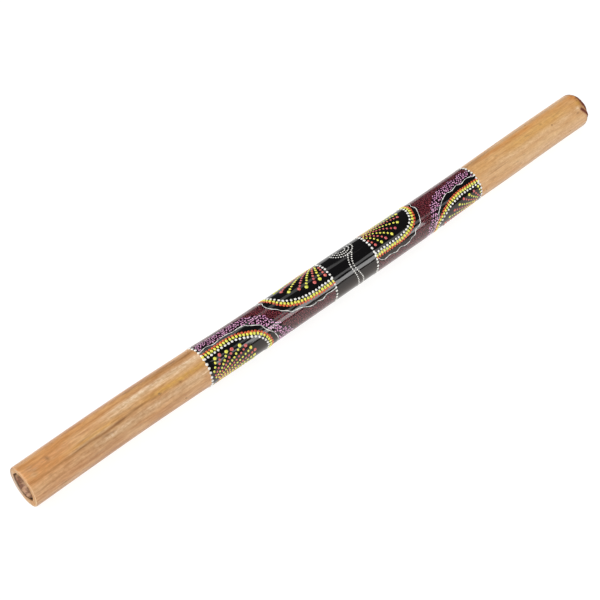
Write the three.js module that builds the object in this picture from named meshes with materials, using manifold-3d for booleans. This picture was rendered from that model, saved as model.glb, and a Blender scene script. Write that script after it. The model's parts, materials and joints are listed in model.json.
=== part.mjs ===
// A bamboo rainstick, lying on its side. A hollow bamboo culm is closed at one end by its own natural
// node and at the other by a wooden disc. Bamboo pins cross the bore in a helix, and small pebbles fall
// between them from end to end when the stick is tipped.
// Millimetres, +Z up, +X along the stick from the plugged end to the node end. The origin is on the
// resting surface, under the middle of the stick.

import * as THREE from 'three';
import { mergeVertices } from 'three/addons/utils/BufferGeometryUtils.js';
import Module from 'manifold-3d';

// The culm
const LENGTH = 603;
const CULM_SIDES = 24;
const CULM_RADII = [16.3, 16.6, 16.6, 16.55, 16.25, 15.8, 16.0]; // outside, at equal steps along it
const CULM_BOW = [0, 1.3, -0.55, -0.9, -1.65, -0.65, 0]; // how far it bends sideways, at the same steps
const SECTION_STEP = 50;
const BORE_RADIUS = 11;
const AXIS_HEIGHT = 16.2; // of the bore's centre above the resting surface
const NODE_WALL = 7; // the natural node that closes the far end
const NODE_ROUNDING = [[2, 0], [0.7, 0.4], [0, 1.2]]; // [distance from the end, how far the outside draws in]
const RIM_CHAMFER = 0.5;

// The disc in the cut end
const PLUG_RECESS = 0.8;
const PLUG_THICKNESS = 6;

// The pins
const PIN_COUNT = 31;
const PIN_RADIUS = 0.9;
const PIN_SIDES = 8;
const PIN_PITCH = 18.5;
const PIN_TURN = Math.PI / 3; // between one pin and the next, so the pins form a helix
const FIRST_PIN_X = -277;
const FIRST_PIN_ANGLE = Math.PI; // of its outer end, from +Y towards +Z
const PIN_SINK = 0.15; // how far its cut end lies below the outside
const HOLE_FROM = 6; // each pin's hole goes through one wall, from inside the bore to outside the culm
const HOLE_TO = 30;

// The pebbles lie in a heap of rows, and each has a straight way to the far end between the pins
const PEBBLE_RADIUS = 0.95;
const PEBBLE_SPACING = 1.98;
const HEAP_ROWS = 4;

const GAP = 0.3; // between pieces that touch
const SAME_POINT = 1e-4; // corners closer together than this are one corner
const MIDDLE = LENGTH / 2;

const wasm = await Module();
wasm.setup();

const bamboo = new THREE.MeshStandardMaterial({ color: 0xc79a63, roughness: 0.42, metalness: 0 });
const plugWood = new THREE.MeshStandardMaterial({ color: 0xb98a72, roughness: 0.75, metalness: 0 });
const pinBamboo = new THREE.MeshStandardMaterial({ color: 0xa8824f, roughness: 0.6, metalness: 0 });
const pebbleStone = new THREE.MeshStandardMaterial({ color: 0x6d6459, roughness: 0.7, metalness: 0 });

const rainstick = new THREE.Group();

// A smooth value at x, from values at equal steps along the stick
function along(values, x) {
  const steps = values.length - 1;
  const place = THREE.MathUtils.clamp((x + MIDDLE) / LENGTH, 0, 1) * steps;
  const i = Math.min(Math.floor(place), steps - 1);
  const t = place - i;
  const slopeAt = (k) => (values[Math.min(k + 1, steps)] - values[Math.max(k - 1, 0)]) / 2;
  return values[i] * (2 * t ** 3 - 3 * t ** 2 + 1) + values[i + 1] * (3 * t ** 2 - 2 * t ** 3)
    + slopeAt(i) * (t ** 3 - 2 * t ** 2 + t) + slopeAt(i + 1) * (t ** 3 - t ** 2);
}

// The distance from the culm's centre to its flats: a flat lies on the resting surface
function flatDistance(x) {
  return along(CULM_RADII, x) * Math.cos(Math.PI / CULM_SIDES);
}

function add(name, geometry, material) {
  const mesh = new THREE.Mesh(geometry, material);
  mesh.name = name;
  rainstick.add(mesh);
  return mesh;
}

// Turns a closed geometry into a solid that can be cut, leaving out triangles with no area
function solidOf(geometry) {
  const bare = geometry.clone();
  bare.deleteAttribute('normal');
  bare.deleteAttribute('uv');
  const merged = mergeVertices(bare, SAME_POINT);
  const corners = merged.index.array;
  const triVerts = [];
  for (let i = 0; i < corners.length; i += 3) {
    const [a, b, c] = [corners[i], corners[i + 1], corners[i + 2]];
    if (a !== b && b !== c && c !== a) triVerts.push(a, b, c);
  }
  const mesh = new wasm.Mesh({
    numProp: 3,
    vertProperties: new Float32Array(merged.attributes.position.array),
    triVerts: new Uint32Array(triVerts),
  });
  return new wasm.Manifold(mesh);
}

function geometryOf(solid) {
  const mesh = solid.getMesh();
  const geometry = new THREE.BufferGeometry();
  geometry.setAttribute('position', new THREE.BufferAttribute(new Float32Array(mesh.vertProperties), 3));
  geometry.setIndex(new THREE.BufferAttribute(new Uint32Array(mesh.triVerts), 1));
  geometry.computeVertexNormals();
  return geometry;
}

// A turned shape along X, from [x, radius] points, with a flat side facing down
function turned(points) {
  const profile = points.map(([x, radius]) => new THREE.Vector2(radius, x));
  const geometry = new THREE.LatheGeometry(profile, CULM_SIDES, Math.PI / CULM_SIDES);
  geometry.rotateZ(-Math.PI / 2);
  return geometry;
}

// The culm's solid: turned, then its outside follows the natural bow and rests on its flat side
function culmSolid() {
  const points = [[MIDDLE - NODE_WALL, 0], [MIDDLE - NODE_WALL, BORE_RADIUS], [-MIDDLE, BORE_RADIUS]];
  points.push([-MIDDLE, along(CULM_RADII, -MIDDLE) - RIM_CHAMFER]);
  points.push([-MIDDLE + RIM_CHAMFER, along(CULM_RADII, -MIDDLE)]);
  for (let x = -MIDDLE + SECTION_STEP; x < MIDDLE; x += SECTION_STEP) {
    points.push([x, along(CULM_RADII, x)]);
  }
  for (const [inset, drawnIn] of NODE_ROUNDING) {
    points.push([MIDDLE - inset, along(CULM_RADII, MIDDLE - inset) - drawnIn]);
  }
  points.push([MIDDLE, 0]);
  const geometry = turned(points);
  const position = geometry.attributes.position;
  for (let i = 0; i < position.count; i += 1) {
    const [x, y, z] = [position.getX(i), position.getY(i), position.getZ(i)];
    if (Math.hypot(y, z) > BORE_RADIUS + RIM_CHAMFER) {
      position.setXYZ(i, x, y + along(CULM_BOW, x), z + flatDistance(x) - AXIS_HEIGHT);
    }
  }
  geometry.translate(0, 0, AXIS_HEIGHT);
  return solidOf(geometry);
}

const pinX = (k) => FIRST_PIN_X + k * PIN_PITCH;
const pinAngle = (k) => FIRST_PIN_ANGLE + k * PIN_TURN;

// How far the culm's outside is from the bore's axis, at x and in the direction of the angle
function outsideAt(x, angle) {
  const bow = along(CULM_BOW, x);
  const lift = flatDistance(x) - AXIS_HEIGHT;
  const alongRay = bow * Math.cos(angle) + lift * Math.sin(angle);
  const acrossRay = lift * Math.cos(angle) - bow * Math.sin(angle);
  return alongRay + Math.sqrt(flatDistance(x) ** 2 - acrossRay ** 2);
}

// A round bar along the direction of the angle, from one distance off the bore's axis to another
function bar(radius, from, to, sides) {
  const geometry = new THREE.CylinderGeometry(radius, radius, to - from, sides);
  geometry.translate(0, (from + to) / 2, 0);
  return geometry;
}

function addCulm() {
  let culm = culmSolid();
  for (let k = 0; k < PIN_COUNT; k += 1) {
    const hole = bar(PIN_RADIUS + GAP, HOLE_FROM, HOLE_TO, PIN_SIDES);
    hole.rotateX(pinAngle(k));
    hole.translate(pinX(k), 0, AXIS_HEIGHT);
    culm = culm.subtract(solidOf(hole));
  }
  add('bamboo_tube', geometryOf(culm), bamboo);
}

function addPlug() {
  const near = -MIDDLE + PLUG_RECESS;
  const far = near + PLUG_THICKNESS;
  const radius = BORE_RADIUS - GAP;
  const plug = turned([[near, 0], [near, radius], [far, radius], [far, 0]]);
  add('end_plug', plug, plugWood).position.z = AXIS_HEIGHT;
}

function addPins() {
  for (let k = 0; k < PIN_COUNT; k += 1) {
    const outside = outsideAt(pinX(k), pinAngle(k)) - PIN_SINK;
    const inside = -(BORE_RADIUS * Math.cos(Math.PI / CULM_SIDES) - GAP);
    const name = `pin_${String(k + 1).padStart(2, '0')}`;
    const pin = add(name, bar(PIN_RADIUS, inside, outside, PIN_SIDES), pinBamboo);
    pin.rotation.x = pinAngle(k);
    pin.position.set(pinX(k), 0, AXIS_HEIGHT);
  }
}

// The heap's rows are one shorter each going up, and it lies against the inside of the plug
function addPebbles() {
  const x = -MIDDLE + PLUG_RECESS + PLUG_THICKNESS + GAP + PEBBLE_RADIUS;
  const outermost = (HEAP_ROWS - 1) / 2 * PEBBLE_SPACING;
  const reach = BORE_RADIUS * Math.cos(Math.PI / CULM_SIDES) - PEBBLE_RADIUS - GAP / 2;
  const lowest = AXIS_HEIGHT - Math.sqrt(reach ** 2 - outermost ** 2);
  let count = 0;
  for (let row = 0; row < HEAP_ROWS; row += 1) {
    const inRow = HEAP_ROWS - row;
    for (let i = 0; i < inRow; i += 1) {
      count += 1;
      const name = `pebble_${String(count).padStart(2, '0')}`;
      const pebble = add(name, new THREE.IcosahedronGeometry(PEBBLE_RADIUS, 1), pebbleStone);
      const y = (i - (inRow - 1) / 2) * PEBBLE_SPACING;
      pebble.position.set(x, y, lowest + row * PEBBLE_SPACING * Math.sin(Math.PI / 3));
    }
  }
}

addCulm();
addPlug();
addPins();
addPebbles();

export default rainstick;
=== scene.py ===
import json
import math

import bpy
import numpy as np
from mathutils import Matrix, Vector


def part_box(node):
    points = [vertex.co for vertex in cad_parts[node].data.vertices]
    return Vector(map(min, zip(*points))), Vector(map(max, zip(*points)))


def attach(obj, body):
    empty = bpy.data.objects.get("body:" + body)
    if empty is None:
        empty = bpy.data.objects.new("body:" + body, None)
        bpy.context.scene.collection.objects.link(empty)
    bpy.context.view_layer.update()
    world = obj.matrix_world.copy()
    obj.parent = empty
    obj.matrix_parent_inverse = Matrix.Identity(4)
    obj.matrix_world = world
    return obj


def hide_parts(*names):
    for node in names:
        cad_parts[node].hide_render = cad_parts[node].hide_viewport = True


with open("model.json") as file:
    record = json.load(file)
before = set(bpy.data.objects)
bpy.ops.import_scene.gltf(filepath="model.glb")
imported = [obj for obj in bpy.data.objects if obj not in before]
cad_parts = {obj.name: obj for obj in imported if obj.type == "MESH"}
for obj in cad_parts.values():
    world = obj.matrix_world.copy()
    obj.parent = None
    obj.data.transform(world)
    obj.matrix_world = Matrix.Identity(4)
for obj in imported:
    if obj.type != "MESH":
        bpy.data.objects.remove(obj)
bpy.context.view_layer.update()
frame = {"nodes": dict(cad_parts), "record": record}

# Lengths are in millimetres unless a name says otherwise, and angles in degrees.
# A place on the stick is (s, a): s runs along it from the cut end, and a runs round it from the side
# that faces the camera, positive towards the floor in front.
METRE = 0.001
LENGTH = 603
MIDDLE = LENGTH / 2
CULM_RADII = [16.55, 16.54, 16.44, 16.33, 16.25, 16.31, 16.41, 16.22, 15.85, 15.4, 15.76, 15.83, 16.0]
CULM_BOW = [0.63, 1.3, 1.62, 0.68, -0.64, -0.81, -1.09, -1.4, -0.98, -0.09, 0.28, 0.89, 0.81]
FACING = 34.1  # of a = 0, from straight up towards the front
BORE_RADIUS = 11
BORE_HEIGHT = 16.2
NODE_WALL = 7
AROUND = 144  # points in each ring of the culm, the disc and the lacquer
RING_STEP = 1.25  # along the stick, from one ring of the culm to the next
RING_ANGLES = np.arange(AROUND) * 360 / AROUND
ARC = math.radians(16.5)  # millimetres round the stick for one degree

MOUTH = (0.9, 16.6, 11.7)  # the bore's opening at the cut end: its centre's y and z, and its radius
COAT = 0.12  # thickness of the lacquer under the dots
DOT_HEIGHT = 0.5
LOW_DOT = 0.36

rng = np.random.default_rng(7)


# ---- shape of the culm

def along(values, s):
    """A smooth value at s, from values at equal steps along the stick."""
    values = np.asarray(values, float)
    last = len(values) - 1
    place = np.clip(np.asarray(s, float) / LENGTH, 0, 1) * last
    i = np.minimum(place.astype(int), last - 1)
    t = place - i
    padded = np.pad(values, 1, "edge")
    slope = (padded[2:] - padded[:-2]) / 2
    return (
        values[i] * (2 * t**3 - 3 * t**2 + 1)
        + values[i + 1] * (3 * t**2 - 2 * t**3)
        + slope[i] * (t**3 - 2 * t**2 + t)
        + slope[i + 1] * (t**3 - t**2)
    )


def bump(distance, width):
    return np.exp(-((distance / width) ** 2))


def apart(a, middle):
    """The angle from one place round the stick to another, within half a turn."""
    return (a - middle + 180) % 360 - 180


SANDED_NODES = (165, 392)  # where the culm's own nodes were sanded down


def crack_angle(s):
    """Where the long drying crack runs, as an angle round the stick."""
    return 3.5 + 0.9 * np.sin(s / 9) - 2.5 * bump(s - 105, 18)


def crack_depth(s):
    return np.clip((s - 8) / 40, 0, 1) * np.clip((122 - s) / 50, 0, 1)


def relief(s, a):
    """How far the natural surface stands off a smooth round culm."""
    turn = np.radians(a)
    height = 0.10 * np.cos(2 * turn + 0.7) * np.cos(s / 52)
    height += 0.06 * np.cos(3 * turn - 1.1) * np.sin(s / 23 + 0.5)
    height += 0.035 * np.cos(7 * turn + 2) * np.sin(s / 61 + 1)
    for node in SANDED_NODES:
        height += 0.22 * bump(s - node, 7)
    height -= 0.22 * crack_depth(s) * bump((a - crack_angle(s)) * ARC, 0.5)
    return height


def on_culm(s, a, height=0.0, radius=None):
    """Points on the culm's outside in metres, height above it."""
    s, a = np.broadcast_arrays(np.asarray(s, float), np.asarray(a, float))
    turn = np.radians(FACING + a)
    if radius is None:
        radius = along(CULM_RADII, s) + relief(s, a)
    r = radius + height
    x = s - MIDDLE
    y = along(CULM_BOW, s) - r * np.sin(turn)
    z = along(CULM_RADII, s) + r * np.cos(turn)
    return np.stack([x, y, z], -1) * METRE


def in_bore(s, a, radius):
    """Points round the straight axis of the bore, in metres."""
    s, a, radius = np.broadcast_arrays(np.asarray(s, float), a, radius)
    turn = np.radians(FACING + a)
    y, z = -radius * np.sin(turn), BORE_HEIGHT + radius * np.cos(turn)
    return np.stack([s - MIDDLE, y, z], -1) * METRE


def off_centre(ring, ease=1.0):
    """Moves a ring round the bore's axis towards the middle of the mouth, by a share of the way."""
    ring[..., 1] += MOUTH[0] * METRE * ease
    ring[..., 2] += (MOUTH[1] - BORE_HEIGHT) * METRE * ease
    return ring


# ---- mesh helpers

def make_mesh(name, points, quads=(), triangles=(), smooth=True):
    """An object from arrays of points and faces."""
    mesh = bpy.data.meshes.new(name)
    faces = [*np.asarray(quads).tolist(), *np.asarray(triangles).tolist()]
    mesh.from_pydata(points, [], faces)
    mesh.polygons.foreach_set("use_smooth", np.full(len(faces), smooth))
    mesh.validate()
    piece = bpy.data.objects.new(name, mesh)
    bpy.context.scene.collection.objects.link(piece)
    return piece


def set_values(piece, name, values):
    attribute = piece.data.attributes.new(name, "FLOAT", "POINT")
    attribute.data.foreach_set("value", np.asarray(values, np.float32).ravel())


def skin_of_rings(rings, closed=False):
    """Points, quads and triangles of a skin over rings of points. The rings either close on
    themselves, like a sleeve's, or end in a point at the middle of the first and of the last."""
    count, size, _ = rings.shape
    points = rings.reshape(-1, 3)
    index = np.arange(count * size).reshape(count, size)
    below = index if closed else index[:-1]
    above = np.roll(index, -1, 0) if closed else index[1:]
    quads = np.stack([below, np.roll(below, -1, 1), np.roll(above, -1, 1), above], -1)
    if closed:
        return points, quads.reshape(-1, 4), ()
    points = np.concatenate([points, rings[[0, -1]].mean(1)])
    middle, first, last = np.full(size, count * size), index[0], index[-1]
    fans = [
        np.stack([middle, np.roll(first, -1), first], -1),
        np.stack([middle + 1, last, np.roll(last, -1)], -1),
    ]
    return points, quads.reshape(-1, 4), np.concatenate(fans)


# ---- material helpers

class Look:
    """A procedural material round one Principled shader, built up node by node."""

    def __init__(self, name, **constants):
        self.material = bpy.data.materials.new(name)
        self.material.use_nodes = True
        self.tree = self.material.node_tree
        self.shader = self.tree.nodes["Principled BSDF"]
        for socket, value in constants.items():
            self.set(socket.replace("_", " "), value)

    def connect(self, value, socket):
        """Links an output, or sets a plain value, on a socket."""
        if isinstance(value, bpy.types.NodeSocket):
            self.tree.links.new(value, socket)
        elif hasattr(value, "__len__") and len(value) == 3 and socket.type == "RGBA":
            socket.default_value = (*value, 1)
        else:
            socket.default_value = value

    def set(self, name, value):
        self.connect(value, self.shader.inputs[name])

    def node(self, kind, inputs, **settings):
        node = self.tree.nodes.new(kind)
        for name, value in settings.items():
            setattr(node, name, value)
        for name, value in inputs.items():
            self.connect(value, node.inputs[name])
        return node

    def mixed(self, factor, a, b, blend="MIX"):
        inputs = {0: factor, 6: a, 7: b}
        return self.node("ShaderNodeMix", inputs, data_type="RGBA", blend_type=blend).outputs[2]

    def scaled(self, value, low, high, to_low=0.0, to_high=1.0):
        inputs = dict(enumerate((value, low, high, to_low, to_high)))
        return self.node("ShaderNodeMapRange", inputs, interpolation_type="SMOOTHSTEP").outputs[0]

    def times(self, a, b, operation="MULTIPLY"):
        return self.node("ShaderNodeMath", {0: a, 1: b}, operation=operation).outputs[0]

    def plus(self, a, b):
        return self.times(a, b, "ADD")

    def attribute(self, name):
        return self.node("ShaderNodeAttribute", {}, attribute_name=name).outputs["Fac"]

    def place(self):
        return self.tree.nodes.new("ShaderNodeTexCoord").outputs["Object"]

    def noise(self, place, scale, detail, shift=0.0):
        """Noise with as many cells in a metre along each axis as the scale says."""
        scales = {"Vector": place, "Scale": scale, "Location": (shift, shift, shift)}
        place = self.node("ShaderNodeMapping", scales).outputs[0]
        inputs = {"Vector": place, "Scale": 1, "Detail": detail}
        return self.node("ShaderNodeTexNoise", inputs).outputs[0]

    def streaks(self, lengthwise, across, detail=3.0, shift=0.0):
        """Noise drawn out along the stick: how many cells there are in a metre each way."""
        return self.noise(self.place(), (lengthwise, across, across), detail, shift)

    def set_bump(self, height, depth_mm):
        inputs = {"Height": height, "Distance": depth_mm * METRE}
        self.set("Normal", self.node("ShaderNodeBump", inputs).outputs[0])


# ---- materials

def bamboo_skin():
    """Fibres, blotches and dashes drawn out along the stick, with the marks' colours on top: the skin's
    own marks, painted sheen among the pale ones and painted shade along the upper and lower sides among
    the dark ones.
    """
    look = Look("bamboo skin", IOR=1.5, Coat_Roughness=0.25, Coat_IOR=1.5)
    farness, burnt = look.attribute("farness"), look.attribute("burnt")
    broad = look.scaled(look.streaks(4, 95, 3), 0.36, 0.64)
    middling = look.scaled(look.streaks(14, 420, 4, 3), 0.35, 0.66)
    fibres = look.scaled(look.streaks(75, 900, 3, 7), 0.34, 0.66)
    fine = look.scaled(look.streaks(150, 2600, 3, 9), 0.3, 0.7)
    patches = look.scaled(look.streaks(50, 420, 4, 23), 0.36, 0.64)
    blotches = look.scaled(look.streaks(30, 160, 4, 11), 0.42, 0.66)
    mottle = look.scaled(look.streaks(420, 620, 3, 13), 0.36, 0.64)
    near = look.mixed(broad, (0.55, 0.255, 0.085), (0.68, 0.37, 0.15))
    far = look.mixed(broad, (0.62, 0.33, 0.115), (0.69, 0.42, 0.185))
    colour = look.mixed(farness, near, far)
    colour = look.mixed(look.times(middling, 0.3), colour, (0.5, 0.215, 0.06))
    colour = look.mixed(look.times(blotches, 0.3), colour, (0.74, 0.5, 0.27))
    uneven = look.scaled(mottle, 0, 1, 0.6, 0.9)
    # The pale marks include painted sheen near the cut end, at a = -24 and -30, where an overhead
    # softbox's reflection falls.
    for name, tint in (("orange", (0.66, 0.27, 0.07)), ("pale", (0.74, 0.55, 0.355)),
                       ("ochre", (0.66, 0.375, 0.085))):
        colour = look.mixed(look.times(look.attribute(name), uneven), colour, tint)
    dashes = look.scaled(look.streaks(130, 1500, 2, 17), 0.6, 0.7)
    where = look.scaled(look.streaks(22, 60, 2, 19), 0.45, 0.65, 0.0, 0.45)
    colour = look.mixed(look.times(dashes, where), colour, (0.36, 0.14, 0.035))
    calm, lift = look.scaled(farness, 0, 1, 1, 0.4), look.scaled(farness, 0, 1, 0, 0.3)
    patches = look.plus(look.times(patches, calm), lift)
    for grain, deep, light in ((patches, (0.88, 0.81, 0.72), (1.07, 1.1, 1.14)),
                               (fibres, (0.94, 0.9, 0.85), (1.04, 1.06, 1.09)),
                               (fine, (0.93, 0.89, 0.83), (1.1, 1.12, 1.14)),
                               (mottle, (0.96, 0.95, 0.93), (1.03, 1.04, 1.05))):
        colour = look.mixed(1.0, colour, look.mixed(grain, deep, light), "MULTIPLY")
    # The dark marks include painted shade along the upper and lower sides.
    colour = look.mixed(look.attribute("dark"), colour, (0.22, 0.09, 0.025))
    colour = look.mixed(burnt, colour, (0.13, 0.02, 0.008))
    look.set("Base Color", colour)
    rough = look.plus(look.scaled(middling, 0, 1, 0.36, 0.5), look.scaled(burnt, 0, 1, 0, 0.4))
    look.set("Roughness", rough)
    look.set("Coat Weight", look.scaled(burnt, 0, 1, 0.3, 0))
    look.set_bump(look.plus(fibres, fine), 0.02)
    return look.material


def cut_bamboo():
    """The sawn rim: tan, with the dark ends of the fibres, a painted cream sheen on its outer part at the
    front, and painted shade darkening the bore behind it.
    """
    look = Look("cut bamboo", Roughness=0.6, Specular_IOR_Level=0.25)
    cells = look.node("ShaderNodeTexVoronoi", {"Vector": look.place(), "Scale": 1500})
    fibres = look.scaled(cells.outputs["Distance"], 0.1, 0.45)
    patches = look.scaled(look.streaks(200, 200, 3), 0.35, 0.65)
    colour = look.mixed(patches, (0.56, 0.34, 0.16), (0.53, 0.26, 0.095))
    colour = look.mixed(look.scaled(fibres, 0, 1, 0.4, 0), colour, (0.34, 0.17, 0.07))
    # The cream tint is painted sheen on the rim, and the dark tint of the bore is painted shade.
    for name, tint in (("ashen", (0.54, 0.41, 0.31)), ("cream_sheen", (0.86, 0.67, 0.43)),
                       ("skin", (0.2, 0.125, 0.075)), ("bore_shade", (0.17, 0.075, 0.028))):
        colour = look.mixed(look.attribute(name), colour, tint)
    look.set("Base Color", colour)
    look.set_bump(fibres, 0.06)
    return look.material


def node_end():
    """The natural node at the far end: brown, wrinkled and matt."""
    look = Look("bamboo node end", IOR=1.45, Roughness=0.6)
    patches = look.scaled(look.streaks(180, 180, 5), 0.35, 0.65)
    wrinkles = look.streaks(900, 900, 4, 5)
    colour = look.mixed(patches, (0.34, 0.19, 0.085), (0.5, 0.31, 0.15))
    colour = look.mixed(look.scaled(wrinkles, 0.45, 0.7, 0, 0.6), colour, (0.14, 0.07, 0.03))
    colour = look.mixed(look.attribute("burnt"), colour, (0.055, 0.02, 0.01))
    look.set("Base Color", colour)
    look.set_bump(wrinkles, 0.25)
    return look.material


def plug_wood():
    """Slanting grain, light and dark by turns, with patches where glue and dust have stained it. Painted
    shade darkens the disc's rim, and brown patches and the upper-left olive one darken it where the
    bore's rim shades its top and where the gap round it is wide.
    """
    look = Look("end disc wood", Roughness=0.7, Specular_IOR_Level=0.15)
    slant = {"Vector": look.place(), "Angle": math.radians(51)}
    turned = look.node("ShaderNodeVectorRotate", slant, rotation_type="X_AXIS")
    grain = look.noise(turned.outputs[0], (60, 70, 520), 4)
    lines = look.scaled(grain, 0.42, 0.58)
    colour = look.mixed(lines, (0.14, 0.05, 0.016), (0.42, 0.235, 0.12))
    for name, tint in (("rusty", (0.27, 0.1, 0.052)), ("pink", (0.47, 0.265, 0.17)),
                       ("olive", (0.33, 0.225, 0.1)), ("brown", (0.12, 0.038, 0.012))):
        stain_and_shade = look.times(look.attribute(name), look.scaled(lines, 0, 1, 0.45, 1))
        colour = look.mixed(stain_and_shade, colour, tint)
    # Painted shade: the disc's rim and sides are darkened where they lie in the gap round it.
    colour = look.mixed(look.attribute("edge"), colour, (0.07, 0.03, 0.012))
    look.set("Base Color", colour)
    look.set_bump(grain, 0.25)
    return look.material


def grainy(name, cells, detail, deep, light, depth_mm, **constants):
    """Two colours mixed by a fine grain, which stands out a little too."""
    look = Look(name, **constants)
    grain = look.streaks(cells, cells, detail)
    look.set("Base Color", look.mixed(look.scaled(grain, 0.35, 0.65), deep, light))
    look.set_bump(grain, depth_mm)
    return look.material


def lacquer():
    """Black lacquer, a little maroon where the dots lie close, with a painted warm reflection on the
    lower half, brown.
    """
    look = Look("black lacquer", IOR=1.5)
    waves = look.streaks(30, 260, 2)
    specks = look.streaks(700, 700, 2, 4)
    colour = look.mixed(look.attribute("maroon"), (0.004, 0.0036, 0.0042), (0.024, 0.0035, 0.007))
    colour = look.mixed(look.scaled(specks, 0.6, 0.8, 0, 0.25), colour, (0.03, 0.026, 0.028))
    # Painted reflection: the brown tint warms the lower half of the band.
    colour = look.mixed(look.attribute("brown"), colour, (0.026, 0.0115, 0.004))
    look.set("Base Color", colour)
    look.set("Roughness", look.scaled(waves, 0.3, 0.7, 0.05, 0.12))
    look.set_bump(waves, 0.12)
    return look.material


def paint(name, light, deep):
    """Raised paint under clear coat: each dot has a tone of its own."""
    look = Look(name, IOR=1.5, Coat_Weight=0.6, Coat_Roughness=0.08, Coat_IOR=1.5)
    cloud = look.scaled(look.streaks(600, 600, 3), 0.3, 0.7, 0, 0.35)
    colour = look.mixed(look.attribute("tone"), light, deep)
    colour = look.mixed(cloud, colour, deep)
    look.set("Base Color", colour)
    look.set("Roughness", look.scaled(cloud, 0, 0.35, 0.22, 0.42))
    look.set_bump(cloud, 0.05)
    return look.material


# ---- the culm

def soft_spot(s, a, s0, a0, width, height):
    """1 at a place on the skin, falling off over a width along it and a height round it."""
    return bump(s - s0, width) * bump(apart(a, a0) * ARC, height)


def stripe(s, a, angle, start, end, half_width, fade=18):
    """A soft streak along the skin, its angle a number or a function of s."""
    middle = angle(s) if callable(angle) else angle
    ends = np.clip((s - start) / fade, 0, 1) * np.clip((end - s) / fade, 0, 1)
    return bump(apart(a, middle) * ARC, half_width) * ends


def ragged(s, a, amount):
    """A small wander from place to place, for edges and lines that aren't clean."""
    turn = np.radians(a)
    return amount * (np.sin(9 * turn + s / 7) + np.sin(23 * turn + 2) / 2 + np.sin(41 * turn) / 3)


def ochre_angle(s):
    return -4 + 2.5 * np.sin(s / 19)


def saw_scratches(s, a):
    """The comb of short scratches beside the cut end: dark ones, and pale ones between them."""
    dark, pale = 0, 0
    for k in range(8):
        reach, angle = 2.6 + 1.2 * math.sin(2.4 * k), -37 + 3.9 * k
        dark = dark + 0.36 * soft_spot(s, a, 8 + 1.6 * math.sin(1.7 * k), angle, reach, 0.34)
        pale = pale + 0.6 * soft_spot(s, a, 7 - 1.8 * math.sin(1.3 * k), angle + 2, reach, 0.34)
    return dark, pale


STRIPES = {  # by colour: strength, a, start, end, half width, and over how far the ends fade
    "orange": (
        (0.4, -56, -30, 80, 4.5, 25), (0.55, -50, 462, 640, 3, 20), (0.5, -22, -30, 50, 7),
        (0.5, 8, -30, 45, 5), (0.25, 28, -30, 60, 8),
    ),
    # The pale streaks at a = -24 and -30 are painted sheen from an overhead softbox.
    "pale": (
        (0.7, 20, 50, 185, 3.2), (0.5, -24, 66, 185, 3.6), (0.6, -30, 55, 190, 2.6, 40),
        (0.35, 19, -30, 75, 5), (0.45, 2, 462, 620, 3.5, 30), (0.35, 44, 500, 640, 4),
        (0.7, -1.5, 30, 85, 0.7), (0.7, -12, 45, 70, 0.5),
    ),
    "ochre": (
        (0.9, ochre_angle, 96, 190, 2.2, 25), (0.5, -20, 500, 590, 4), (0.5, -7, 30, 90, 1.2),
    ),
    # The dark streaks at a = -62, -55, -63, -59, 54, 73 and 75 are painted shade along the upper and
    # lower sides of the stick.
    "dark": (
        (0.12, -62, -30, 162, 1.5), (0.32, -55, 92, 175, 4, 25), (0.25, -63, 440, 640, 1.6),
        (0.25, -59, 440, 505, 2.5), (0.4, 75, -30, 190, 3), (0.4, 73, 440, 640, 3),
        (0.1, 54, -30, 190, 4), (0.5, 13, 463, 508, 0.4, 20), (0.3, 8, 466, 500, 0.3, 10),
    ),
}
SPOTS = {  # by colour: strength, s, a, half length, half height
    "orange": ((1, 600.5, -38, 3.5, 4.5), (0.5, 536, -40, 9, 2)),
    "pale": ((0.8, 595, -1, 2.2, 1.6),),
    "ochre": ((0.9, 600, -14, 3.5, 2.6),),
    "dark": (
        (0.62, 21, -28, 1.5, 1.9), (0.35, 21.5, -22, 1, 0.9), (0.55, 67, 13, 2.6, 0.7),
        (0.5, 71.5, 14.5, 2.2, 0.5), (0.4, 64, 11, 1.5, 0.5), (0.7, 117.5, 2, 1.1, 0.7),
        (0.7, 136, 4.5, 1.2, 0.9), (0.45, 83, -14, 4, 0.5), (0.45, 93, -12, 4, 0.45),
        (0.35, 77, -18, 2.5, 0.45), (0.4, 106, -11, 2.5, 0.45), (0.4, 112, -6, 2.5, 0.5),
        (0.35, 48, -12, 5, 0.45), (0.35, 57, -8, 5, 0.4), (0.5, 79, 2, 5.5, 0.9),
        (0.45, 96, -1.5, 7, 0.8), (0.4, 113, 2.5, 4.5, 0.7), (0.35, 123, 3, 3, 0.5),
        (0.25, 16, 13, 1.6, 1.2), (0.35, 143, -60, 3, 1.2), (0.3, 100, -58, 5, 1.1),
        (0.3, 56, 39, 9, 0.9), (0.25, 90, 44, 8, 0.9), (0.35, 155, -52, 4, 1.5),
        (0.5, 531, -20, 2.4, 0.6), (0.4, 534, -18, 3, 0.4), (0.45, 552, -25, 1.2, 1.2),
        (0.4, 493, -24, 1.3, 0.8), (0.45, 513, 47, 1.6, 0.7), (0.4, 509, 32, 1.5, 0.7),
        (0.35, 518, 24, 2, 0.5), (0.35, 484, -34, 1.4, 0.8), (0.4, 479, 31, 4, 0.5),
        (0.3, 474, -50, 5, 1.2), (0.6, 592.8, 13, 1.6, 0.9), (0.35, 569, -22, 4, 0.4),
        (0.35, 575, -25, 4, 0.4), (0.25, 548, 52, 9, 0.8), (0.6, 601.5, -31, 1.2, 1.1),
        (0.5, 600.5, -22, 1, 0.7), (0.5, 601.3, -48, 1, 1.2),
    ),
}


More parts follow.
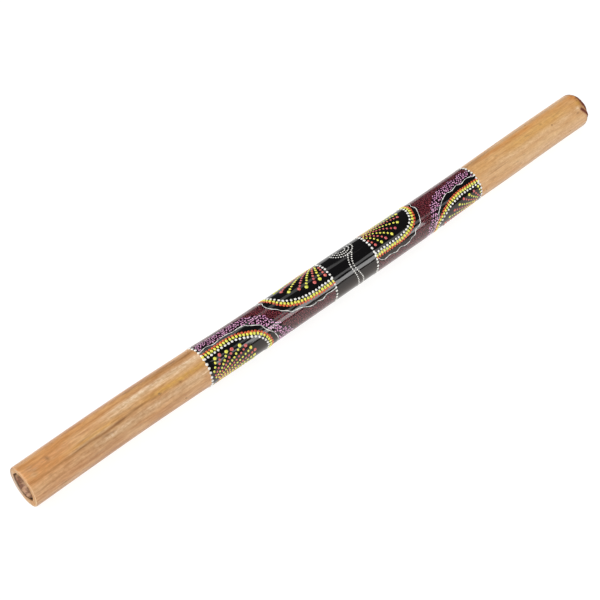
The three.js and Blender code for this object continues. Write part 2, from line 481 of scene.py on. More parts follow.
def culm_marks(s, a):
    """The colours that lie at their own places on the bare skin, with painted sheen among the pale ones
    and painted shade along the upper and lower sides among the dark ones.
    """
    marks = {name: np.zeros(s.shape) for name in SPOTS}
    for table, shape in ((STRIPES, stripe), (SPOTS, soft_spot)):
        for name, entries in table.items():
            for strength, *where in entries:
                marks[name] += strength * shape(s, a, *where)
    scratches, pale_scratches = saw_scratches(s, a)
    marks["pale"] += pale_scratches
    beside_crack = (a - crack_angle(s)) * ARC
    crack = (0.5 + 0.15 * np.sin(s / 3.1)) * bump(beside_crack, 0.4)
    crack += 0.3 * bump(beside_crack - ARC, 1.5)
    marks["dark"] += scratches + crack * crack_depth(s)
    # Darker beside the cut at the back, and beside the far node on the camera's side
    at_back = np.clip(1 - (apart(a, -110) / 45) ** 2, 0, 1)
    marks["dark"] += 0.45 * bump(s - near_edge(a) - 0.4, 0.8) * at_back
    marks["dark"] += 0.5 * bump(s - far_edge(a) + 4.2, 1.7) * bump(a + 6, 22)
    charred = np.clip(np.cos(np.radians(a + 8)) * 1.6 - 0.35, 0, 1)
    at_top = bump(a + 75, 30)
    width = 1.4 + 2.3 * charred * bump(a + 8, 20) + 1.3 * at_top + ragged(0, a, 0.4)
    beyond = np.clip((s - far_edge(a) + width) / 0.2, -50, 50)
    burnt = (0.6 + 0.4 * np.maximum(charred, at_top)) / (1 + np.exp(-beyond))
    marks["burnt"] = (burnt + 1.4 * scar(s, a)) * np.clip((LENGTH + 7 - s) / 4, 0, 1)
    marks["farness"] = (s - 250) / 250
    return {name: np.clip(value, 0, 1) for name, value in marks.items()}


def far_edge(a):
    """Where the skin ends at the far node: not quite square, and uneven."""
    return LENGTH + 2.0 - 1.3 * np.clip(np.cos(np.radians(a - 75)), 0, 1) ** 2 + ragged(0, a, 0.12)


SCAR_START = (598.3, 9)
SCAR_END = (604.9, 44)


def scar(s, a):
    """Where the sheath scar crosses the far node: 1 along its middle."""
    s0, a0 = SCAR_START
    s1, a1 = SCAR_END
    along_s, along_a = s1 - s0, (a1 - a0) * ARC
    length = math.hypot(along_s, along_a)
    ds, da = s - s0, (a - a0) * ARC
    t = np.clip((ds * along_s + da * along_a) / length**2, 0, 1)
    return bump(np.hypot(ds - t * along_s, da - t * along_a), 1.5 - 0.5 * t)


RIM_RINGS = 8
MOUTH_NICKS = ((-112, 0.9, 9), (154, 0.8, 10))  # a, how deep, how wide


def near_edge(a):
    """Where the saw cut lies: it leans a little, and is furthest out low on the camera's side."""
    return -0.6 - 0.25 * np.cos(np.radians(a - 60)) + ragged(0, a, 0.03)


def bore_ring(s, a, radius):
    """A ring of the bore, which starts a little off centre and straightens within a few centimetres."""
    ease = bump(s, 25)
    for middle, deep, wide in MOUTH_NICKS:
        radius = radius + deep * bump(apart(a, middle), wide) * bump(s, 3)
    return off_centre(in_bore(s, a, radius + (MOUTH[2] - BORE_RADIUS) * ease), ease)


def culm_rings():
    """Rings of the culm's skin from the middle of the inner wall, along the bore, round the rim
    and along the outside to the middle of the far face, with each ring's s and its material."""
    a = RING_ANGLES
    turn = np.radians(a)
    rings, places, slots = [], [], []

    def add(points, s, slot):
        rings.append(points)
        places.append(np.broadcast_to(s, a.shape))
        slots.append(slot)

    inner_wall = LENGTH - NODE_WALL
    for r in (2.5, 6, 9.5):
        add(in_bore(inner_wall, a, r), inner_wall, 1)
    deep, shallow = np.arange(inner_wall, 60, -20), np.arange(55, 8, -6)
    for s in np.concatenate([deep, shallow, [6, 4, 2.5, 1, 0]]):
        add(bore_ring(s, a, BORE_RADIUS + 0.1 * np.sin(5 * turn + s)), s, 1)
    cut = near_edge(a)
    add(bore_ring(cut + 0.12, a, BORE_RADIUS + 0.1 * np.sin(5 * turn)), cut + 0.12, 1)
    rim_inner = bore_ring(cut, a, BORE_RADIUS + 0.12 + 0.1 * np.sin(5 * turn))
    rim_outer = on_culm(cut, a, -0.5)
    for t in np.linspace(0, 1, RIM_RINGS):
        face = rim_inner * (1 - t) + rim_outer * t
        face[:, 0] += METRE * 0.07 * np.sin(13 * turn + 5 * t) * np.sin(math.pi * t)
        add(face, cut, 1)
    for back, inset in ((0.12, 0.3), (0.45, 0.12), (1.1, 0.02)):
        add(on_culm(cut + back, a, -inset), cut + back, 0)
    straight = np.arange(1.0, 590, RING_STEP)
    for s in np.concatenate([straight, np.linspace(590.5, LENGTH - 0.5, 22)]):
        add(on_culm(s, a, 0.7 * scar(s, a)), s, 0)
    for t in np.linspace(0.08, 1, 9):
        s = (LENGTH - 0.5) * (1 - t) + far_edge(a) * t
        drawn_in = 1.0 * t**3
        add(on_culm(s, a, -drawn_in + 0.9 * scar(s, a)), s, 0)
    edge, rim = far_edge(a), along(CULM_RADII, LENGTH) - 1.2
    for t in np.linspace(0.02, 0.94, 15):
        level = edge * (1 - t) ** 2 + edge.mean() * (1 - (1 - t) ** 2)
        dome = level + 0.12 + 0.5 * math.sin(min(t * 3, 1) * math.pi / 2) * (1 - 1.6 * t)
        dome = dome + 0.12 * np.sin(7 * turn + 9 * t) * math.sin(math.pi * t) * (1 - t)
        add(on_culm(dome, a, radius=rim * (1 - t)), np.full(AROUND, LENGTH + 10 * t), 2)
    return np.array(rings), np.array(places), np.array(slots), a


def make_culm():
    rings, places, slots, a = culm_rings()
    culm = make_mesh("bamboo_culm", *skin_of_rings(rings))
    for make in (bamboo_skin, cut_bamboo, node_end):
        culm.data.materials.append(make())
    ring_of_quad = np.repeat(slots[1:], AROUND)
    of_faces = np.concatenate([ring_of_quad, np.full(AROUND, 1), np.full(AROUND, 2)])
    culm.data.polygons.foreach_set("material_index", of_faces.astype(np.int32))

    def set_ring_values(name, values, first=0, last=0):
        """A value for each point of the rings, and for the skin's two end points."""
        set_values(culm, name, np.concatenate([values.ravel(), [first, last]]))

    # From half a turn behind to half a turn ahead of the camera's side, as the marks' places are
    around = np.broadcast_to(apart(a, 0), places.shape)
    for name, value in culm_marks(places, around).items():
        set_ring_values(name, value)
    # Painted shade: the bore darkens from just inside the cut.
    bore_shade = np.where(slots[:, None] == 1, np.clip((places - near_edge(a) - 0.1) / 1.2, 0, 1), 0)
    set_ring_values("bore_shade", bore_shade, first=1)
    outward = np.zeros((len(slots), 1))
    last_of_rim = np.flatnonzero(slots == 1)[-1]
    outward[last_of_rim - RIM_RINGS + 1:last_of_rim + 1, 0] = np.linspace(-2.5, 1, RIM_RINGS).clip(0)
    set_ring_values("skin", outward * bump(apart(a, -110), 62) * 0.85)
    # Painted sheen: cream on the outer part of the rim, towards the front.
    set_ring_values("cream_sheen", outward * bump(apart(a, 20), 85) * 0.85)
    set_ring_values("ashen", np.ones((len(slots), 1)) * bump(apart(a, -160), 55) * 0.85)
    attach(culm, "stick")
    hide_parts("bamboo_tube")


# ---- the disc in the cut end

DISC_FRONT = -0.2
DISC_GAPS = ((-113, 1.0, 16), (-159, 2.2, 20), (95, 1.7, 22), (155, 0.8, 18))  # a, how deep, how wide
# Stains on the disc, and painted shade: the brown patches and the olive one at the upper left darken it
# where the bore's rim shades its top and where the gap round it is wide.
DISC_STAINS_AND_SHADE = {  # to the right and up from the bore's middle as the cut end is looked at, and how far
    "rusty": ((-9, 0.4, 3.4), (-7, -3.5, 3)),
    "pink": ((1, -4.6, 4.6), (1.5, 3.6, 3.6)),
    "olive": ((8.7, 4.9, 3.6), (-7.2, 8.6, 2.6)),
    "brown": ((-2.2, 9.0, 3.6), (-6, 5, 2.5), (-12.2, 2.7, 1.8), (-8.1, -4.6, 1.8)),
}


def make_plug():
    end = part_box("end_plug")[1].x / METRE + MIDDLE
    turn = np.radians(RING_ANGLES)
    outline = MOUTH[2] - 0.45 - 0.1 * (1 + np.sin(11 * turn)) - 0.06 * np.sin(29 * turn)
    for middle, deep, wide in DISC_GAPS:
        outline -= deep * bump(apart(RING_ANGLES, middle), wide)
    rings, edge = [], []

    # The last value darkens a ring of the disc: painted shade in the gap round it.
    def add(s, reach, gap_shade=0.0):
        rings.append(off_centre(in_bore(s, RING_ANGLES, outline * reach)))
        edge.append(np.full(AROUND, gap_shade))

    for t in np.linspace(0.05, 0.95, 19):
        s = DISC_FRONT + 0.1 * np.sin(5 * turn + 8 * t) * t + 0.2 * t**8
        add(s, t, max(0.0, (t - 0.9) * 8))
    for s, reach in ((DISC_FRONT + 0.45, 0.985), (DISC_FRONT + 1, 1), (end - 0.6, 1), (end, 0.96)):
        add(s, reach, 1)
    for t in (0.6, 0.2):
        add(end, t)
    points, quads, triangles = skin_of_rings(np.array(rings))
    plug = make_mesh("end_disc", points, quads, triangles)
    set_values(plug, "edge", np.concatenate([np.ravel(edge), [0, 0]]))
    right = -points[:, 1] / METRE
    up = points[:, 2] / METRE - BORE_HEIGHT
    for name, places in DISC_STAINS_AND_SHADE.items():
        stain_and_shade = sum(bump(np.hypot(right - x, up - y), reach) for x, y, reach in places)
        set_values(plug, name, np.clip(stain_and_shade, 0, 1) * 0.85)
    plug.data.materials.append(plug_wood())
    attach(plug, "stick")
    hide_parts("end_plug")


# ---- the painted pattern

class Lens:
    """A half oval of dots that grows from a ring of dots round the stick, and the line round it."""

    def __init__(self, ring, centre, border, line, tips, dot_size, lilac=0, lilac_flare=0):
        self.ring, self.centre, self.tips, self.dot_size = ring, centre, tips, dot_size
        self.border = self.whole(border)
        self.line = self.whole(line)
        # How far the lilac stipple reaches from the line, and how much more low on the front
        self.lilac, self.lilac_flare = lilac, lilac_flare

    def whole(self, half):
        """The half that is given and its mirror image, as one smooth line of (s, arc) points."""
        back = [(s, 2 * self.centre - a) for s, a in reversed(half)]
        return smooth_line(half + back)

    def mirrored(self, place):
        return place[0], 2 * self.centre - place[1]

    def near(self, a):
        """The same angle, within half a turn of the lens's centre."""
        return self.centre + (np.asarray(a) - self.centre + 180) % 360 - 180

    def holds(self, s, a):
        """True for the places between the line and the lens's ring."""
        beyond = self.ring + 30 * np.sign(self.ring - self.line[len(self.line) // 2, 0])
        corners = np.array([[beyond, self.line[-1, 1]], [beyond, self.line[0, 1]]])
        return inside(np.concatenate([self.line, corners]), s, self.near(a) * ARC)

    def distance(self, s, a):
        """How far places are from the line."""
        arc = self.near(a) * ARC
        nearest = np.full(np.shape(s), np.inf)
        for line_s, line_arc in self.line[::2]:
            nearest = np.minimum(nearest, (s - line_s) ** 2 + (arc - line_arc) ** 2)
        return np.sqrt(nearest)


def smooth_line(places):
    """A smooth line of (s, arc) points through (s, a) places, at equal steps along it."""
    knots = np.array([(s, a * ARC) for s, a in places], float)
    knots = np.concatenate([[2 * knots[0] - knots[1]], knots, [2 * knots[-1] - knots[-2]]])
    t = np.linspace(0, 1, 24, endpoint=False)[:, None]
    parts = []
    for p0, p1, p2, p3 in zip(knots, knots[1:], knots[2:], knots[3:]):
        cubic = 2 * p1 + (p2 - p0) * t + (2 * p0 - 5 * p1 + 4 * p2 - p3) * t**2
        parts.append((cubic + (3 * p1 - p0 - 3 * p2 + p3) * t**3) / 2)
    return spaced(np.concatenate([*parts, knots[-2:-1]]), 0.5)


def spaced(line, step):
    """Points at equal steps along a line."""
    lengths = np.concatenate([[0], np.cumsum(np.hypot(*np.diff(line, axis=0).T))])
    count = max(2, int(round(lengths[-1] / step)) + 1)
    at = np.linspace(0, lengths[-1], count)
    return np.stack([np.interp(at, lengths, line[:, 0]), np.interp(at, lengths, line[:, 1])], -1)


def sideways(line):
    """Unit vectors square to a line, to its left."""
    ahead = np.gradient(line, axis=0)
    ahead /= np.hypot(*ahead.T)[:, None]
    return np.stack([-ahead[:, 1], ahead[:, 0]], -1)


def inside(polygon, x, y):
    result = np.zeros(np.shape(x), bool)
    ends = np.roll(polygon, -1, 0)
    for (x0, y0), (x1, y1) in zip(polygon, ends):
        if y0 == y1:
            continue
        crosses = (y0 > y) != (y1 > y)
        result ^= crosses & (x < (x1 - x0) * (y - y0) / (y1 - y0) + x0)
    return result


# The rings of white dots: where each lies, how far it leans across the stick, how many dots it has and
# their radius
RINGS = {"A": (161.3, 0.9, 28, 1.15), "B": (290.6, 1.1, 35, 1.0), "C": (336.4, 1.1, 32, 1.1),
         "D": (462.0, 0.0, 31, 1.1)}


BAND_START, BAND_END = RINGS["A"][0], RINGS["D"][0]


def ring_place(name, a):
    """Where a ring crosses the angle a."""
    s, lean = RINGS[name][:2]
    return s - lean * np.sin(np.radians(a))


LENSES = [
    Lens(
        161.3, 72,
        [(162, -17), (170, -18), (178, -19), (186, -19), (193, -16), (199, -9), (205, 0), (210, 9),
         (214, 22), (216.5, 35), (218, 48), (219, 60)],
        [(162, -33), (165, -35), (170, -38), (176, -33), (182, -36), (189, -37), (194, -33), (200, -33),
         (205, -30), (208, -22), (213, -12), (216.5, -3), (217.5, 8), (219.5, 18), (223, 31), (225, 44),
         (226.5, 60)],
        [(169, 3), (174, 2), (180, 4), (185, 6), (192, 10), (196.5, 19), (200, 32), (203, 46), (202, 62)],
        0.97, lilac=9.2, lilac_flare=6,
    ),
    Lens(
        290.8, -95,
        [(290, 8), (284, 9), (278, 9), (272, 9), (266, 8), (261, 6), (256, 2), (251, -4), (247, -10),
         (243, -19), (240, -31), (238, -44), (236.5, -58), (236, -76)],
        [(290, 29), (285, 30), (280, 29), (275, 35), (270, 31), (266, 33), (262, 31), (258, 25),
         (254, 19), (249, 16), (245, 13), (242, 4), (238, -4), (235.5, -14), (232, -25), (230, -36),
         (229.5, -48), (231, -62), (228, -78)],
        [(287.5, -18), (281.5, -18), (276, -18), (268, -20), (262, -27), (254, -38), (250, -55),
         (247, -74)],
        1.0,
    ),
    Lens(
        336.2, -75,
        [(337, 18), (343, 17), (350, 17), (357, 17), (364, 17), (370, 14.5), (375, 10), (379.5, 3),
         (383, -6), (385.5, -17), (387.5, -30), (389, -44), (389.8, -58)],
        [(336.5, 10), (337.5, 26), (340, 37), (344, 42), (349, 39), (353, 41), (357, 44), (362, 38),
         (367, 43), (372, 41), (376, 34), (380, 31), (382, 20), (386, 17), (389, 11), (391, -2),
         (393, -18), (395, -35), (394, -50), (396.5, -64)],
        [(341, -10), (347.5, -7), (353, -10), (360, -10), (366, -19), (372, -30), (376.5, -45),
         (379, -60)],
        0.9,
    ),
    Lens(
        462.0, 78,
        [(461, 7), (455, 6.5), (449, 6), (443, 5.5), (437, 6.5), (432, 9), (427, 13), (423, 18),
         (419, 24), (415.5, 31), (412, 39), (408.7, 48), (407.2, 58), (406.7, 68)],
        [(461, -12), (457, -18), (452, -20), (446, -15), (441, -20), (437, -17), (433, -14), (428, -17),
         (424, -13), (419, -5), (416, 3), (412.5, 12), (410, 21), (409, 33), (405.6, 45), (404, 57),
         (403.4, 68)],
        [(459.5, 22), (453.5, 28), (447.5, 28), (440.5, 30), (434.5, 38), (428, 45), (421.5, 57),
         (417, 70)],
        0.85, lilac=8.6,
    ),
]


def dome_template(levels, sides, crisp):
    """Points (across, along, up) and triangles of one dot: rings at the levels' (reach, rise), a flat
    bottom and a tip on top. The last part numbers the points of the crisp rings, lowest first."""
    turn = np.arange(sides) * 2 * math.pi / sides
    rings = [
        np.stack([reach * np.cos(turn), reach * np.sin(turn), np.full(sides, rise)], -1)
        for reach, rise in levels
    ]
    points, quads, fans = skin_of_rings(np.array(rings))
    points[-2:] = (0, 0, levels[0][1]), (0, 0, 1)
    ring = np.zeros(len(points), int)
    ring[:crisp * sides] = 1 + np.arange(crisp * sides) // sides
    # (s, arc, up) is left-handed, so the faces turn round
    return points, np.concatenate([quads[:, :3], quads[:, [0, 2, 3]], fans])[:, ::-1], ring


ROUND_DOT = dome_template([(1, -0.5), (1, 0.12), (0.86, 0.56), (0.52, 0.9)], 12, 1)
FLAT_DOT = dome_template([(1, -0.6), (0.84, 0.9)], 6, 2)


def sharpen(piece, ring):
    """Keeps the shading apart across the numbered rings of edges."""
    mesh = piece.data
    ends = np.zeros(len(mesh.edges) * 2, np.int32)
    mesh.edges.foreach_get("vertices", ends)
    start, end = ring[ends.reshape(-1, 2)].T
    sharp = (start > 0) & (start == end)
    mesh.attributes.new("sharp_edge", "BOOLEAN", "EDGE").data.foreach_set("value", sharp)


class Dots:
    """Dots of one paint, gathered and then made as one piece."""

    def __init__(self):
        self.rows = []

    def add(self, s, arc, long, wide, heading=0.0, height=DOT_HEIGHT):
        self.rows.append((s, arc, long, wide, heading, height))

    def add_round(self, s, arc, radius, wander=0.1, height=DOT_HEIGHT):
        self.add(s, arc, radius * jitter(wander), radius * jitter(wander), 0.0, height)

    def make(self, name, material, slot, template=ROUND_DOT):
        rows = np.array(self.rows, float)
        shape, faces, ring = template
        s, arc, long, wide, heading, height = (column[:, None] for column in rows.T)
        across, ahead, up = shape.T[:, None, :]
        u, v = across * long, ahead * wide
        cos, sin = np.cos(heading), np.sin(heading)
        places_s, places_arc = s + u * cos - v * sin, arc + u * sin + v * cos
        points = on_culm(places_s, places_arc / ARC, COAT + up * height)
        count, size = points.shape[:2]
        triangles = faces[None] + (np.arange(count) * size)[:, None, None]
        piece = make_mesh(name, points.reshape(-1, 3), triangles=triangles.reshape(-1, 3))
        tones = np.random.default_rng(len(rows)).random(count)
        set_values(piece, "tone", np.repeat(tones, size))
        sharpen(piece, np.tile(ring, count))
        piece.data.materials.append(material)
        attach(piece, "stick")


white, yellow, red, rose = Dots(), Dots(), Dots(), Dots()
lilac, maroon_near, maroon_far = Dots(), Dots(), Dots()


def jitter(amount):
    return 1 + amount * rng.uniform(-1, 1)


def add_rings():
    for name, (_, _, count, radius) in RINGS.items():
        for k in range(count):
            a = -180 + (k + 0.3 + 0.1 * rng.uniform(-1, 1)) * 360 / count
            s = ring_place(name, a) + 0.25 * rng.uniform(-1, 1)
            white.add_round(s, a * ARC, radius)


# Each row of a border: how far outside the yellow one it lies, how far apart its dots are, their reach
# across the row and along it, and their height
BORDER_ROWS = (
    (red, 1.9, 2.75, 1.05, 1.15, LOW_DOT),
    (yellow, 0.2, 2.95, 1.35, 1.12, DOT_HEIGHT),
    (white, -2.25, 3.35, 1.0, 1.1, DOT_HEIGHT),
)


def add_border(lens):
    middle = np.array([lens.ring, lens.centre * ARC])
    outward = sideways(lens.border)
    if ((lens.border - middle) * outward).sum() < 0:
        outward = -outward
    for dots, offset, spacing, across, ahead, height in BORDER_ROWS:
        line = spaced(lens.border + outward * offset, spacing)
        for place, across_line in zip(line, sideways(line)):
            s, arc = place + 0.13 * rng.uniform(-1, 1, 2)
            heading = math.atan2(across_line[1], across_line[0]) + 0.15 * rng.uniform(-1, 1)
            # Only on the lens's own side of its ring
            if (s - lens.ring) * (lens.ring - lens.border[:, 0].mean()) < -0.9:
                dots.add(s, arc, across * jitter(0.1), ahead * jitter(0.1), heading, height)


def add_trail(start, tip, dots, size):
    """Dots along a bend that grow towards the tip, where the largest is."""
    start, end = np.array(start, float), np.array(tip, float)
    bend = start + (end - start) * (0.6, 0.45)
    t = np.linspace(0, 1, 60)[:, None]
    path = start * (1 - t) ** 2 + 2 * bend * t * (1 - t) + end * t**2
    path[:, 1] *= ARC
    lengths = np.concatenate([[0], np.cumsum(np.hypot(*np.diff(path, axis=0).T))])
    back, radius, step = 0.0, 1.5 * size, 3.4
    while lengths[-1] - back > 0.3:
        at = lengths[-1] - back
        s, arc = np.interp(at, lengths, path[:, 0]), np.interp(at, lengths, path[:, 1])
        s, arc = s + 0.15 * rng.uniform(-1, 1), arc + 0.15 * rng.uniform(-1, 1)
        dots.add_round(s, arc, radius, 0.08, LOW_DOT * radius)
        radius = max(0.8 * size, radius * (0.7 if back == 0 else 0.97))
        back += step
        step = max(2.45, step * 0.96)


def add_trails(lens, colours):
    """A fan of trails: each starts near the ring, the outermost furthest from the lens's centre."""
    inward = np.sign(lens.border[:, 0].mean() - lens.ring)
    last, edge = len(lens.tips) - 1, lens.tips[0][1]
    for k, tip in enumerate(lens.tips):
        share = 0.52 + 0.48 * (k / last) ** 0.6
        start = (lens.ring + inward * (1.2 + 0.7 * k), edge + (lens.centre - edge) * share)
        add_trail(start, tip, colours[k % 2], lens.dot_size)
        # The last tip has no mirror image if it lies on the lens's own middle
        if k < last or abs(tip[1] - lens.centre) > 6:
            add_trail(lens.mirrored(start), lens.mirrored(tip), colours[k % 2], lens.dot_size)


def add_dotted(places, radius, spacing):
    """A dotted white line through places."""
    for s, arc in spaced(smooth_line(places), spacing):
        white.add_round(s, arc, radius, height=0.3)


def add_middle_motif():
    """On the black middle: a double dotted path that winds round the stick, between two fans of
    nested arcs."""
    centre = 316.0
    left = [(316.5, -34), (313.3, -20), (311.4, -8), (310.7, 4), (311.3, 17), (312.3, 30), (313, 42),
            (313.8, 56), (314.5, 72), (315.5, 92), (316, 110)]
    right = [(320, -31), (317, -20), (314.8, -9), (313.8, 4), (314.4, 16), (315.9, 29), (317.5, 41),
             (318.8, 54), (319.5, 72), (319.5, 92), (319, 110)]
    for path in (left, right):
        add_dotted(path, 0.64, 2.1)
    for middle_a, facing in ((-63, 1), (141, -1)):
        for reach in (11.0, 7.6, 4.2):
            arc = [
                (centre + reach * math.cos(t), middle_a + facing * reach * 0.78 * math.sin(t) / ARC)
                for t in np.linspace(-0.1, math.pi + 0.1, 12)
            ]
            add_dotted(arc, 0.62, 2.0)


def zones(s, a):
    """Which stipple covers each place: 0 for none, 1 for maroon, 2 for lilac."""
    zone = np.zeros(np.shape(s), int)
    for first, second in ("AB", "CD"):
        zone[(s > ring_place(first, a) + 1.6) & (s < ring_place(second, a) - 1.6)] = 1
    for lens in LENSES:
        if lens.lilac:
            edge = lens.distance(s, a) + 0.8 * np.sin(s / 2.3) * np.cos(a / 5)
            wide = lens.lilac + lens.lilac_flare * np.clip((a - 30) / 30, 0, 1)
            zone[(zone == 1) & (edge < wide)] = 2
    for lens in LENSES:
        clear = lens.distance(s, a) < 1.0
        zone[(zone > 0) & (lens.holds(s, a) | clear)] = 0
    return zone


def scattered(pitch, wander):
    """Places all over the painted band, evenly but not in rows."""
    round_mm = 360 * ARC
    rows = int(round(round_mm / (pitch * 0.866)))
    s = np.arange(BAND_START, BAND_END, pitch)
    grid_s, row = np.meshgrid(s, np.arange(rows))
    grid_s = grid_s + pitch / 2 * (row % 2) + wander * pitch * rng.uniform(-1, 1, grid_s.shape)
    grid_a = -180 + (row + wander * rng.uniform(-1, 1, grid_s.shape)) * 360 / rows
    return grid_s.ravel(), grid_a.ravel()


def add_stipple():
    """The maroon and lilac dots lie almost flat under the clear coat."""
    s, a = scattered(1.28, 0.3)
    zone = zones(s, a)
    split = (RINGS["B"][0] + RINGS["C"][0]) / 2
    for x, angle in zip(s[zone == 1], a[zone == 1]):
        dots = maroon_near if x < split else maroon_far
        size = rng.uniform(0.36, 0.53)
        dots.add(x, angle * ARC, size * 1.2, size, rng.uniform(0, math.pi), 0.03)
    s, a = scattered(2.3, 0.25)
    zone = zones(s, a)
    for x, angle in zip(s[zone == 2], a[zone == 2]):
        long, wide = rng.uniform(0.8, 1.3), rng.uniform(0.46, 0.62)
        lilac.add(x, angle * ARC, long, wide, rng.uniform(0, math.pi), 0.05)


def make_lines(material):
    """The wavy white line round each lens, as a raised bead of paint."""
    across = np.array([-1, -0.75, -0.3, 0.3, 0.75, 1, 0.6, -0.6])
    up = np.array([0.0, 0.7, 1.0, 1.0, 0.7, 0.0, -0.8, -0.8])
    skins, offset = [], 0
    for lens in LENSES:
        line = spaced(lens.line, 0.6)
        steps = np.arange(len(line))
        width = 0.28 * (1 + 0.35 * np.sin(steps * 0.31) + 0.25 * np.sin(steps * 0.83 + 1))
        reach = across[None, :, None] * width[:, None, None]
        places = line[:, None, :] + sideways(line)[:, None, :] * reach
        rings = on_culm(places[..., 0], places[..., 1] / ARC, COAT + 0.14 * up[None, :])
        points, quads, triangles = skin_of_rings(rings)
        skins.append((points, quads + offset, triangles + offset))
        offset += len(points)
    piece = make_mesh("wavy_lines", *(np.concatenate(part) for part in zip(*skins)))
    set_values(piece, "tone", np.full(len(piece.data.vertices), 0.3))
    piece.data.materials.append(material)
    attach(piece, "stick")


def make_coat():
    """The lacquer sleeve that the pattern is painted on."""
    a = RING_ANGLES - 180
    start = ring_place("A", a) - 0.3 + ragged(0, a, 0.12)
    end = ring_place("D", a) + 0.3 + ragged(50, a, 0.12)
    steps = int((BAND_END - BAND_START) / RING_STEP)
    # The share of the way from the start to the end, and the height above the skin
    outer = [(0, 0.02), (0.0012, 0.09)] + [(t, COAT) for t in np.linspace(0.004, 0.996, steps)]
    outer += [(0.9988, 0.09), (1, 0.02)]
    inner = [(t, -0.5) for t in np.linspace(1, 0, steps // 3)]
    rings, places = [], []
    for t, height in outer + inner:
        s = start + (end - start) * t
        rings.append(on_culm(s, a, height))
        places.append(s)
    coat = make_mesh("lacquer_band", *skin_of_rings(np.array(rings), closed=True))
    s, around = np.array(places), np.broadcast_to(a, np.shape(places))
    set_values(coat, "maroon", np.choose(zones(s, around), (0, 1, 0.35)))
    # Painted reflection: brown on the lower half of the band.
    set_values(coat, "brown", np.clip((around - 15) / 45, 0, 1) * (around < 120))
    coat.data.materials.append(lacquer())
    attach(coat, "stick")


def make_pattern():
    add_rings()
    for lens, colours in zip(LENSES, ((yellow, rose), (rose, yellow), (rose, yellow), (yellow, rose))):
        add_border(lens)
        add_trails(lens, colours)
    add_middle_motif()
    add_stipple()
    white_paint = paint("white paint", (0.92, 0.91, 0.88), (0.84, 0.82, 0.76))
    white.make("white_dots", white_paint, "paint_white")
    yellow_paint = paint("yellow paint", (0.92, 0.86, 0.09), (0.78, 0.8, 0.1))
    yellow.make("yellow_dots", yellow_paint, "paint_yellow")
    red.make("red_dots", paint("red paint", (0.8, 0.15, 0.025), (0.62, 0.07, 0.02)), "paint_red")
    rose.make("rose_dots", paint("rose paint", (0.74, 0.14, 0.085), (0.62, 0.11, 0.12)), "paint_red")
    lilac_paint = paint("lilac paint", (0.95, 0.53, 0.78), (0.66, 0.25, 0.49))
    lilac.make("lilac_stipple", lilac_paint, "paint_lilac", FLAT_DOT)
    maroon_paint = paint("maroon paint", (0.31, 0.042, 0.055), (0.11, 0.012, 0.02))
    maroon_near.make("maroon_stipple_near", maroon_paint, "paint_maroon", FLAT_DOT)
    maroon_far.make("maroon_stipple_far", maroon_paint, "paint_maroon", FLAT_DOT)
    make_lines(white_paint)


# ---- pins and pebbles

def ends_of_bar(corners):
    """The middles of a straight bar's two end faces, the inner one first."""
    spread = corners - corners.mean(0)
    axis = np.linalg.svd(spread, full_matrices=False)[2][0]
    reach = spread @ axis
    tips = [corners[reach > reach.max() - 1e-5].mean(0), corners[reach < reach.min() + 1e-5].mean(0)]
    bore_axis = np.array([0, BORE_HEIGHT * METRE])
    tips.sort(key=lambda tip: np.linalg.norm(tip[1:] - bore_axis))
    return tips


def make_pins():
    """Each CAD pin's bar as a round, slightly tapered bamboo rod, its head flush with the skin, or
    under the lacquer."""
    bamboo = (0.3, 0.15, 0.055), (0.46, 0.27, 0.11)
    material = grainy("pin bamboo", 900, 4, *bamboo, 0.05, IOR=1.45, Roughness=0.6)
    turn = np.arange(20) * 2 * math.pi / 20
    for name in sorted(name for name in frame["nodes"] if name.startswith("pin_")):
        corners = np.array([v.co for v in frame["nodes"][name].data.vertices])
        low, high = ends_of_bar(corners)
        s = low[0] / METRE + MIDDLE
        painted = BAND_START - 2 < s < BAND_END + 2
        axis = (high - low) / np.linalg.norm(high - low)
        angle = math.degrees(math.atan2(-axis[1], axis[2])) - FACING
        head = on_culm(s, angle, -0.3 if painted else 0.04)
        length = np.dot(head - low, axis) / METRE
        side = np.array([1.0, 0, 0])
        round_bar = np.cos(turn)[:, None] * side + np.sin(turn)[:, None] * np.cross(axis, side)
        profile = ((0, 0.45), (0.4, 0.62), (1.2, 0.74), (length - 6, 0.86), (length - 0.12, 0.9),
                   (length, 0.82))
        rings = []
        for up, reach in profile:
            wobble = 1 + 0.04 * np.sin(3 * turn + up) + 0.03 * np.sin(7 * turn + s)
            r = (reach * wobble * METRE)[:, None]
            rings.append(low + axis * up * METRE + r * round_bar)
        rod = make_mesh(name + "_rod", *skin_of_rings(np.array(rings)))
        rod.data.materials.append(material)
        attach(rod, "stick")
        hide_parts(name)


DENTS = ((2.3, (1, 0.4, 0.2)), (3.1, (-0.3, 1, 0.5)), (4.3, (0.2, -0.6, 1)))  # how close, and which way


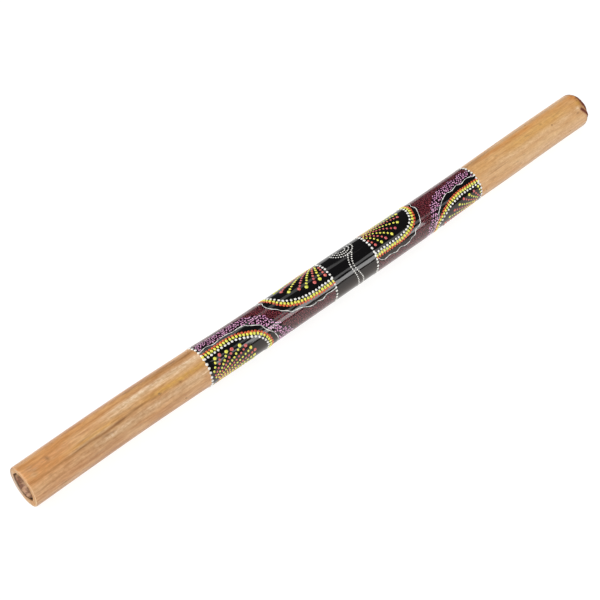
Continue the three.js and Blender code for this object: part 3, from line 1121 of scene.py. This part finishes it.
def make_pebbles():
    """Each CAD pebble as an irregular stone, a little smaller than it."""
    stone = (0.1, 0.085, 0.07), (0.33, 0.29, 0.24)
    material = grainy("pebble stone", 1100, 5, *stone, 0.06, IOR=1.5, Roughness=0.55)
    for body, members in frame["record"]["behaviour"]["bodies"].items():
        if not body.startswith("falling_"):
            continue
        node = members[0]
        low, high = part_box(node)
        centre, radius = (low + high) / 2, (high.x - low.x) / 2
        bpy.ops.mesh.primitive_ico_sphere_add(subdivisions=4, radius=1, location=(0, 0, 0))
        pebble = bpy.context.object
        pebble.name = node + "_stone"
        shape = np.array([v.co for v in pebble.data.vertices])
        shifts = rng.uniform(0, 6.3, 6)  # the first three are used
        dents = sum(
            np.sin(rate * shape @ towards + shift) for (rate, towards), shift in zip(DENTS, shifts)
        )
        shape = shape * (1 - 0.05 * (1 + dents / 3))[:, None] * rng.uniform(0.88, 1.0, 3)
        points = shape * radius + np.array(centre)
        pebble.data.vertices.foreach_set("co", points.astype(np.float32).ravel())
        pebble.data.polygons.foreach_set("use_smooth", np.ones(len(pebble.data.polygons), bool))
        pebble.data.materials.append(material)
        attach(pebble, body)
        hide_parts(node)


# ---- studio

def add_to_scene(name, data, axis, towards, location=(0, 0, 0)):
    """Adds a camera or a light that has its axis, Z or -Z, towards a direction."""
    thing = bpy.data.objects.new(name, data)
    thing.location = location
    thing.rotation_mode = "QUATERNION"
    thing.rotation_quaternion = Vector(towards).to_track_quat(axis, "Y")
    bpy.context.scene.collection.objects.link(thing)
    return thing


def make_camera():
    data = bpy.data.cameras.new("camera")
    data.sensor_width = 36
    data.lens = 85.9
    data.clip_start, data.clip_end = 0.05, 50
    towards, location = (0.463, 0.496, -0.735), (-0.5605, -0.562, 0.848)
    bpy.context.scene.camera = add_to_scene("camera", data, "-Z", towards, location)


def make_floor():
    half = 20
    corners = [(-half, -half, 0), (half, -half, 0), (half, half, 0), (-half, half, 0)]
    floor = make_mesh("floor", corners, [(0, 1, 2, 3)], smooth=False)
    floor.location.z = -(COAT + DOT_HEIGHT) * METRE
    look = Look("light table", Roughness=0.7, Emission_Strength=0.92, Emission_Color=(1, 0.995, 0.985))
    greys = (0.14, 0.14, 0.14), (0.17, 0.17, 0.17)
    look.set("Base Color", look.mixed(look.streaks(3, 3, 2), *greys))
    floor.data.materials.append(look.material)


def add_sun(name, towards, strength, spread):
    """A distant light that stands towards a direction."""
    data = bpy.data.lights.new(name, "SUN")
    data.energy = strength
    data.angle = math.radians(spread)
    add_to_scene(name, data, "Z", towards)


def add_panel(name, low, high, facing, brightness):
    """A flat softbox between two corners, shining along facing, with its brightness as radiance."""
    low, high = Vector(low), Vector(high)
    flat = [abs(x) for x in high - low if abs(x) > 1e-6]
    data = bpy.data.lights.new(name, "AREA")
    data.shape = "RECTANGLE"
    data.size, data.size_y = flat
    data.energy = brightness * math.pi * flat[0] * flat[1]
    panel = add_to_scene(name, data, "Z", -Vector(facing), (low + high) / 2)
    panel.visible_camera = False


def make_lights():
    add_sun("overhead", (-0.45, 0.12, 0.89), 2.1, 75)
    add_sun("front", (-0.55, -0.7, 0.45), 0.65, 60)
    add_sun("back", (-0.6, 0.65, 0.47), 0.95, 60)
    add_panel("low_strip", (0.72, -1.8, 0.34), (1.45, -1.8, 1.08), (0, 1, 0), 6.1)
    add_panel("high_strip", (0.6, -1.2, 1.04), (1.6, -1.2, 1.6), (0, 1, 0), 2.0)
    add_panel("top_box", (0.3, 0.48, 1.6), (0.65, 1.1, 1.6), (0, 0, -1), 3.3)
    add_panel("top_fill", (0.65, 0.48, 1.6), (1.0, 1.1, 1.6), (0, 0, -1), 1.1)
    world = bpy.data.worlds.new("studio")
    world.use_nodes = True
    world.node_tree.nodes["Background"].inputs["Color"].default_value = (0.07, 0.07, 0.07, 1)
    bpy.context.scene.world = world
    bpy.context.scene.view_settings.view_transform = "Standard"


make_camera()
make_floor()
make_lights()

make_culm()
make_plug()
make_coat()
make_pattern()
make_pins()
make_pebbles()
